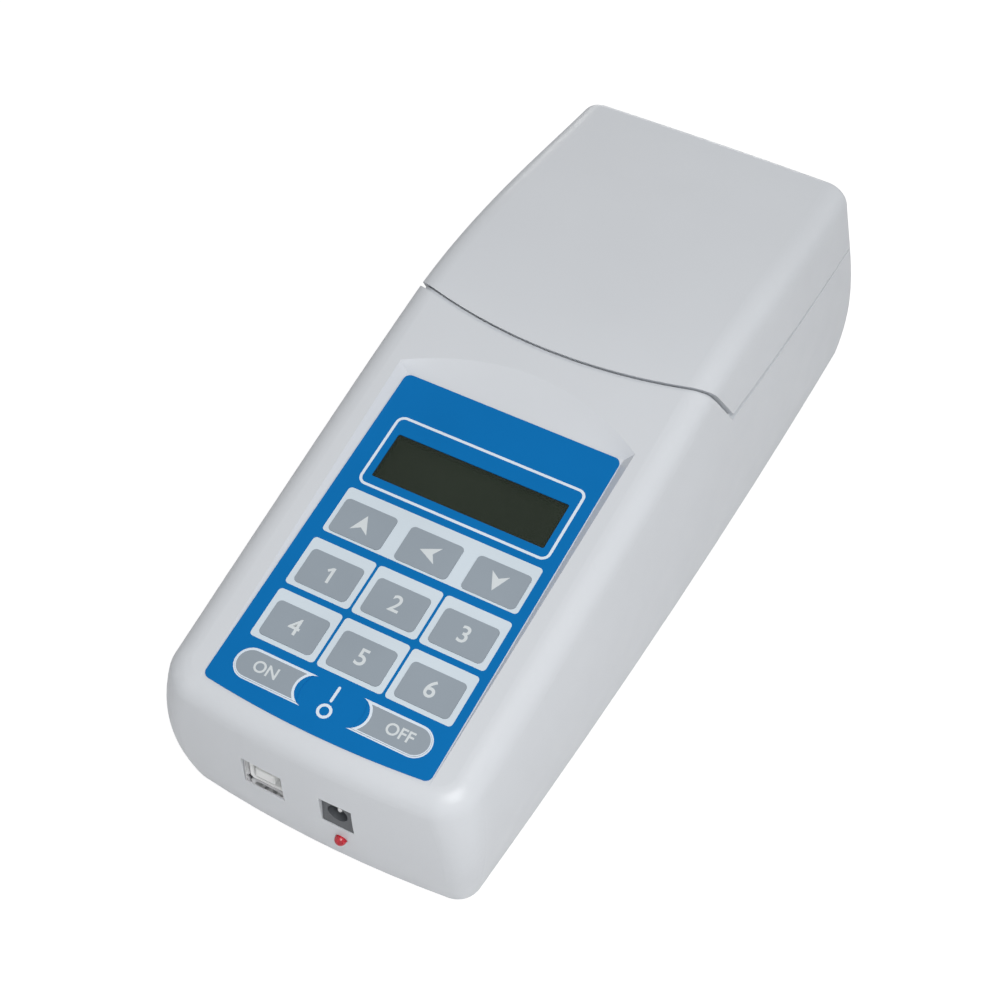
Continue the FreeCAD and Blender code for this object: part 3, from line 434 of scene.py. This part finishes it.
class Pill:
    """A pill key's outlines: a round outer end, and an inner end hollowed by a circle.

    They are drawn with x counted outwards from the middle between both pills.
    """

    def __init__(self, key, side):
        left, right, low, high = key_span(key)
        self.side = side
        self.radius = (high - low) / 2
        self.middle = (low + high) / 2
        end = max(side * (left - PILL_MIDDLE), side * (right - PILL_MIDDLE))
        self.outer = (end - self.radius, self.middle)
        self.notch = (PILL_NOTCH_OUT, self.middle)
        self.legend_at = (end + PILL_NOTCH_OUT + PILL_NOTCH_R + PILL_NOTCH_BORDER) / 2

    def placed(self, points):
        """Points on the panel, from points counted outwards."""
        return [(PILL_MIDDLE + self.side * x, y) for x, y in points]

    def shape(self, grow, notch_r):
        """The whole outline, grown by this much, with a hollow of this radius."""
        rise = self.radius + grow
        reach = math.degrees(math.asin(rise / notch_r))
        return self.placed(arc(self.outer, rise, -90, 90, PILL_STEPS)
                           + arc(self.notch, notch_r, reach, -reach, PILL_STEPS))

    def border(self):
        """The part of the border that lies on the film, from horn to horn round the outer end."""
        wide = self.radius + PILL_BORDER
        narrow = self.radius + KEY_GAP
        tip, root = [math.degrees(math.asin(rise / PILL_NOTCH_R)) for rise in (wide, narrow)]
        return self.placed(arc(self.outer, wide, -90, 90, PILL_STEPS)
                           + arc(self.notch, PILL_NOTCH_R, tip, root, TIP_STEPS)
                           + arc(self.outer, narrow, 90, -90, PILL_STEPS)
                           + arc(self.notch, PILL_NOTCH_R, -root, -tip, TIP_STEPS))

    def cut_edge(self, before=0.0):
        """The key's own inner edge, or an arc this far before it, from low to high."""
        reach = math.degrees(math.asin(self.radius / PILL_CUT_R))
        return arc((0, self.middle), PILL_CUT_R - before, -reach, reach, CUT_STEPS)

    def strip(self, start, end):
        """A strip along the key's inner edge, between these distances before it."""
        return self.placed(self.cut_edge(end) + self.cut_edge(start)[::-1])

    def crescent(self):
        """The blue between the key's own inner edge and the hollow of its border."""
        reach = math.degrees(math.asin(self.radius / PILL_NOTCH_R))
        return self.placed(self.cut_edge() + arc(self.notch, PILL_NOTCH_R, reach, -reach, PILL_STEPS))


def arrow(turn):
    """Arrowhead with a notched tail, turned by this many degrees from pointing up the slope."""
    half = ARROW_SIZE / 2
    wing = half * ARROW_WING
    shape = [(0, half), (wing, -half), (0, -half * ARROW_NOTCH), (-wing, -half)]
    c, s = math.cos(math.radians(turn)), math.sin(math.radians(turn))
    return [(x * c - y * s, x * s + y * c) for x, y in shape]


def legend(key, text, size, across=None):
    """Letters or a digit in the middle of a key, or at this place across the panel, riding with it.

    The one is drawn with a flag; the rest comes from the font.
    """
    left, right, low, high = key_span(key)
    x = (left + right) / 2 if across is None else across
    y = (low + high) / 2
    name = "legend_" + key
    if text == "1":
        points = [(x + aside, y + above) for aside, above in DIGIT_ONE]
        print_on(name, [points], INK_LEGEND, key, key_top(key))
        return
    curve = bpy.data.curves.new(name, "FONT")
    curve.body = text
    curve.size = size * MM
    curve.align_x = "CENTER"
    curve.align_y = "CENTER"
    curve.offset = LETTER_BOLD * MM
    curve.extrude = INK * MM / 2
    place = PANEL @ Matrix.Translation((x * MM, y * MM, key_top(key) + INK * MM / 2))
    settle(name, curve, place, INK_LEGEND, key)


def function_keys():
    """Frame and digit of each of the six function keys."""
    for number in range(1, 7):
        key = "key_%d" % number
        left, right, low, high = key_span(key)
        middle = (left + right) / 2
        outer = rounded(middle - FRAME_W / 2, middle + FRAME_W / 2, low - FRAME_BELOW,
                        high + FRAME_ABOVE, FRAME_CORNER)
        print_on("frame_%d" % number, [outer, key_outline(key, KEY_GAP)], INK_PALE, "housing", 0)
        legend(key, str(number), DIGIT_SIZE)


def arrow_keys():
    """One frame round the three upper keys, and an arrow on each."""
    outlines = [rounded(*ARROW_FRAME, FRAME_CORNER)]
    for key, turn in (("key_up", 0), ("key_left", 90), ("key_down", 180)):
        outlines.append(key_outline(key, KEY_GAP))
        left, right, low, high = key_span(key)
        points = [(x + (left + right) / 2, y + (low + high) / 2) for x, y in arrow(turn)]
        print_on("arrow_" + key.removeprefix("key_"), [points], INK_LEGEND, key, key_top(key))
    print_on("frame_arrows", outlines, INK_PALE, "housing", 0)


def pill_keys():
    """Border, blue hollow and word of both pill keys, and blue over the key's side and its gap."""
    blue = SURFACES["keypad_film"]
    for key, side, text in (("key_on", -1, "ON"), ("key_off", 1, "OFF")):
        name = key.removeprefix("key_")
        top = key_top(key)
        pill = Pill(key, side)
        rim = [pill.shape(0, PILL_NOTCH_R),
               pill.shape(-PILL_BORDER_IN, PILL_NOTCH_R + PILL_NOTCH_BORDER)]
        print_on("border_" + name, [pill.border()], INK_WHITE, "housing", 0)
        print_on("rim_" + name, rim, INK_WHITE, key, top)
        print_on("hollow_" + name, [pill.crescent()], blue, key, top)
        print_on("gap_" + name, [pill.strip(KEY_GAP, KEY_GAP + GAP_COVER)], blue, "housing", 0)
        skirt = plate("skirt_" + name, [pill.strip(0, SKIRT)], top / MM)
        settle("skirt_" + name, skirt, PANEL @ Matrix.Translation((0, 0, top / 2)), blue, key)
        legend(key, text, WORD_SIZE, PILL_MIDDLE + side * pill.legend_at)


def power_mark():
    """A stroke over a ring, between the two pill keys."""
    (x0, y0), (x1, y1) = MARK_LINE
    half = LINE_W / 2
    stroke = arc((x1, y1), half, 0, 180, MARK_END_STEPS) + arc((x0, y0), half, 180, 360, MARK_END_STEPS)
    ring = [circle(MARK_RING, radius, MARK_RING_STEPS) for radius in (MARK_RING_R, MARK_RING_R - LINE_W)]
    print_on("power_mark", [stroke] + ring, INK_WHITE, "housing", 0)


def display_frame():
    """The line round the display window."""
    left, right, low, high = DISPLAY_FRAME
    inner = (left + LINE_W, right - LINE_W, low + LINE_W, high - LINE_W)
    outlines = [rounded(*DISPLAY_FRAME, DISPLAY_CORNER), rounded(*inner, DISPLAY_CORNER - LINE_W)]
    print_on("frame_display", outlines, INK_WHITE, "housing", 0)


def box_outline(width, height, radius, x=0.0, y=0.0):
    """Outline of a rectangle with round corners about a point."""
    return rounded(x - width / 2, x + width / 2, y - height / 2, y + height / 2, radius)


def data_socket_core():
    """The socket's moulded core: sleeve, rear block and tongue, with four contacts.

    Each part is outlines, start and end behind the core's face, edge radius and slot.
    """
    low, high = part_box("usb_core")
    x, z = (low[0] + high[0]) / 2, (low[2] + high[2]) / 2
    width, depth, height = [(high[i] - low[i]) / MM for i in range(3)]
    outer = box_outline(width, height, CORE_CORNER)
    mouth = box_outline(MOUTH_W, MOUTH_H, CORE_CORNER)
    tongue = box_outline(TONGUE_W, TONGUE_H, TONGUE_CORNER)
    parts = {
        "usb_sleeve": ([outer, mouth], SLEEVE_BACK, MOUTH_DEPTH, CORE_EDGE, "white_plastic"),
        "usb_block": ([outer], MOUTH_DEPTH, depth, CORE_EDGE, "white_plastic"),
        "usb_tongue": ([tongue], TONGUE_BACK, MOUTH_DEPTH + TONGUE_BACK, TONGUE_EDGE, "white_plastic"),
    }
    corners = [(across, up) for up in (-1, 1) for across in (-1, 1)]
    for number, (across, up) in enumerate(corners, 1):
        strip = box_outline(CONTACT_W, CONTACT_T, CONTACT_T / 3, across * CONTACT_APART / 2,
                            up * (TONGUE_H + CONTACT_T) / 2)
        parts["usb_contact_%d" % number] = ([strip], CONTACT_BACK, MOUTH_DEPTH, 0.0, "plated_steel")
    for name, (outlines, start, end, edge, slot) in parts.items():
        place = (Matrix.Translation((x, low[1] + (start + end) / 2 * MM, z))
                 @ Matrix.Rotation(math.pi / 2, 4, "X"))
        piece = settle(name, plate(name, outlines, end - start, edge), place, SURFACES[slot], "housing")
        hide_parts("usb_core")


def turned(name, profile, x, z, slot, node):
    """A turned piece along Y that stands for a node: points of radius and place along the axis."""
    shape = bmesh.new()
    points = [shape.verts.new((x + radius, y, z)) for radius, y in profile]
    edges = [shape.edges.new(pair) for pair in zip(points, points[1:])]
    bmesh.ops.spin(shape, geom=points + edges, cent=(x, 0, z), axis=(0, 1, 0), angle=2 * math.pi,
                   steps=TURN_STEPS, use_duplicate=False)
    bmesh.ops.remove_doubles(shape, verts=shape.verts, dist=WELD)
    bmesh.ops.recalc_face_normals(shape, faces=shape.faces)
    for face in shape.faces:
        face.smooth = True
    mesh = bpy.data.meshes.new(name)
    shape.to_mesh(mesh)
    shape.free()
    mesh.set_sharp_from_angle(angle=SHARP)
    mesh.materials.append(SURFACES[slot])
    piece = bpy.data.objects.new(name, mesh)
    bpy.context.scene.collection.objects.link(piece)
    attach(piece, "housing")
    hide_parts(node)


def dome(radius, tip, steps=8):
    """Profile of a round tip, from its foremost point back to its full radius."""
    turn = [math.pi / 2 * i / steps for i in range(steps + 1)]
    return [(radius * math.sin(a), tip + radius * (1 - math.cos(a))) for a in turn]


def power_pin():
    """The power jack's centre pin, with a rounded tip."""
    low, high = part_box("dc_pin")
    x, z = (low[0] + high[0]) / 2, (low[2] + high[2]) / 2
    radius = (high[0] - low[0]) / 2
    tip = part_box("dc_jack")[0][1] + PIN_BACK * MM
    turned("power_pin", dome(radius, tip) + [(radius, high[1]), (0, high[1])], x, z,
           "plated_steel", "dc_pin")


def charge_lamp():
    """The small red lamp: a round lens on a collar, and its two legs bent up to their board."""
    low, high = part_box("charge_lamp")
    collar = (high[0] - low[0]) / 2
    x, z = (low[0] + high[0]) / 2, low[2] + collar
    radius = collar - COLLAR_W * MM
    tip = low[1] - LENS_FORWARD * MM
    front, back = low[1] + COLLAR_PLACE[0] * MM, low[1] + COLLAR_PLACE[1] * MM
    lens = dome(radius, tip) + [(radius, front), (collar, front), (collar, back), (0, back)]
    turned("charge_lamp_lens", lens, x, z, "red_lens", "charge_lamp")
    bend = high[1] - LEG_R * MM
    route = ((back, z), (bend, z), (bend, high[2]))
    for number, side in enumerate((-1, 1), 1):
        name = "charge_lamp_leg_%d" % number
        leg = bpy.data.curves.new(name, "CURVE")
        leg.dimensions = "3D"
        leg.bevel_depth = LEG_R * MM
        leg.use_fill_caps = True
        spline = leg.splines.new("POLY")
        spline.points.add(len(route) - 1)
        across = x + side * LEG_APART / 2 * MM
        for point, place in zip(spline.points, route):
            point.co = (across, *place, 1)
        piece = settle(name, leg, Matrix.Identity(4), SURFACES["plated_steel"], "housing")
        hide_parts("charge_lamp")


def make_floor():
    """Pale floor: plain white to the camera, apart from the object's faint shadow."""
    mesh = bpy.data.meshes.new("floor")
    signs = ((-1, -1), (1, -1), (1, 1), (-1, 1))
    corners = [(across * FLOOR_HALF, along * FLOOR_HALF, -FLOOR_BELOW) for across, along in signs]
    mesh.from_pydata(corners, [], [(0, 1, 2, 3)])
    floor = bpy.data.objects.new("floor", mesh)
    bpy.context.scene.collection.objects.link(floor)
    material = bpy.data.materials.new("floor")
    material.use_nodes = True
    nodes, links = material.node_tree.nodes, material.node_tree.links
    nodes.clear()
    path = nodes.new("ShaderNodeLightPath")
    pale = nodes.new("ShaderNodeBsdfDiffuse")
    pale.inputs["Color"].default_value = FLOOR_PALE
    faint = nodes.new("ShaderNodeBsdfDiffuse")
    faint.inputs["Color"].default_value = FLOOR_SHADE
    glow = nodes.new("ShaderNodeEmission")
    glow.inputs["Strength"].default_value = FLOOR_GLOW
    both = nodes.new("ShaderNodeAddShader")
    pick = nodes.new("ShaderNodeMixShader")
    end = nodes.new("ShaderNodeOutputMaterial")
    links.new(faint.outputs["BSDF"], both.inputs[0])
    links.new(glow.outputs["Emission"], both.inputs[1])
    links.new(path.outputs["Is Camera Ray"], pick.inputs["Fac"])
    links.new(pale.outputs["BSDF"], pick.inputs[1])
    links.new(both.outputs["Shader"], pick.inputs[2])
    links.new(pick.outputs["Shader"], end.inputs["Surface"])
    mesh.materials.append(material)


def make_world():
    """Soft grey light from all sides, weaker on the left; white to the camera and reflections."""
    world = bpy.data.worlds.new("studio")
    bpy.context.scene.world = world
    world.use_nodes = True
    nodes, links = world.node_tree.nodes, world.node_tree.links
    nodes.clear()
    path = nodes.new("ShaderNodeLightPath")
    light = nodes.new("ShaderNodeBackground")
    light.inputs["Color"].default_value = LIGHT_TINT
    place = nodes.new("ShaderNodeTexCoord")
    split = nodes.new("ShaderNodeSeparateXYZ")
    strength = nodes.new("ShaderNodeMapRange")
    strength.inputs["From Min"].default_value = -1.0
    strength.inputs["From Max"].default_value = 1.0
    strength.inputs["To Min"].default_value = LIGHT_LEFT
    strength.inputs["To Max"].default_value = LIGHT_RIGHT
    links.new(place.outputs["Generated"], split.inputs["Vector"])
    links.new(split.outputs["X"], strength.inputs["Value"])
    links.new(strength.outputs["Result"], light.inputs["Strength"])
    seen = nodes.new("ShaderNodeBackground")
    seen.inputs["Color"].default_value = (1, 1, 1, 1)
    mirrored = nodes.new("ShaderNodeMath")
    mirrored.operation = "MAXIMUM"
    shown = nodes.new("ShaderNodeMath")
    shown.operation = "MAXIMUM"
    pick = nodes.new("ShaderNodeMixShader")
    end = nodes.new("ShaderNodeOutputWorld")
    links.new(path.outputs["Is Glossy Ray"], mirrored.inputs[0])
    links.new(path.outputs["Is Transmission Ray"], mirrored.inputs[1])
    links.new(path.outputs["Is Camera Ray"], shown.inputs[0])
    links.new(mirrored.outputs["Value"], shown.inputs[1])
    links.new(shown.outputs["Value"], pick.inputs["Fac"])
    links.new(light.outputs["Background"], pick.inputs[1])
    links.new(seen.outputs["Background"], pick.inputs[2])
    links.new(pick.outputs["Shader"], end.inputs["Surface"])


def make_lamps():
    """Rectangular lamps, each turned towards the middle of the object."""
    for name, (place, size, power) in LAMPS.items():
        lamp = bpy.data.lights.new(name, "AREA")
        lamp.shape = "RECTANGLE"
        lamp.size, lamp.size_y = size
        lamp.energy = power
        holder = bpy.data.objects.new(name, lamp)
        holder.location = place
        holder.rotation_euler = (Vector(LAMP_TARGET) - Vector(place)).to_track_quat("-Z", "Y").to_euler()
        bpy.context.scene.collection.objects.link(holder)


def make_camera():
    """The camera of the photograph, slightly rolled."""
    camera = bpy.data.objects.new("camera", bpy.data.cameras.new("camera"))
    camera.data.lens = LENS
    camera.data.sensor_width = SENSOR
    camera.matrix_world = (Matrix.Translation(CAMERA_PLACE)
                           @ Matrix.Rotation(CAMERA_AZIMUTH, 4, "Z")
                           @ Matrix.Rotation(math.pi / 2 - CAMERA_ELEVATION, 4, "X")
                           @ Matrix.Rotation(CAMERA_ROLL, 4, "Z"))
    bpy.context.scene.collection.objects.link(camera)
    bpy.context.scene.camera = camera


bpy.context.scene.view_settings.view_transform = "Standard"
dress_nodes()
display_frame()
arrow_keys()
function_keys()
pill_keys()
power_mark()
data_socket_core()
power_pin()
charge_lamp()
make_floor()
make_world()
make_lamps()
make_camera()
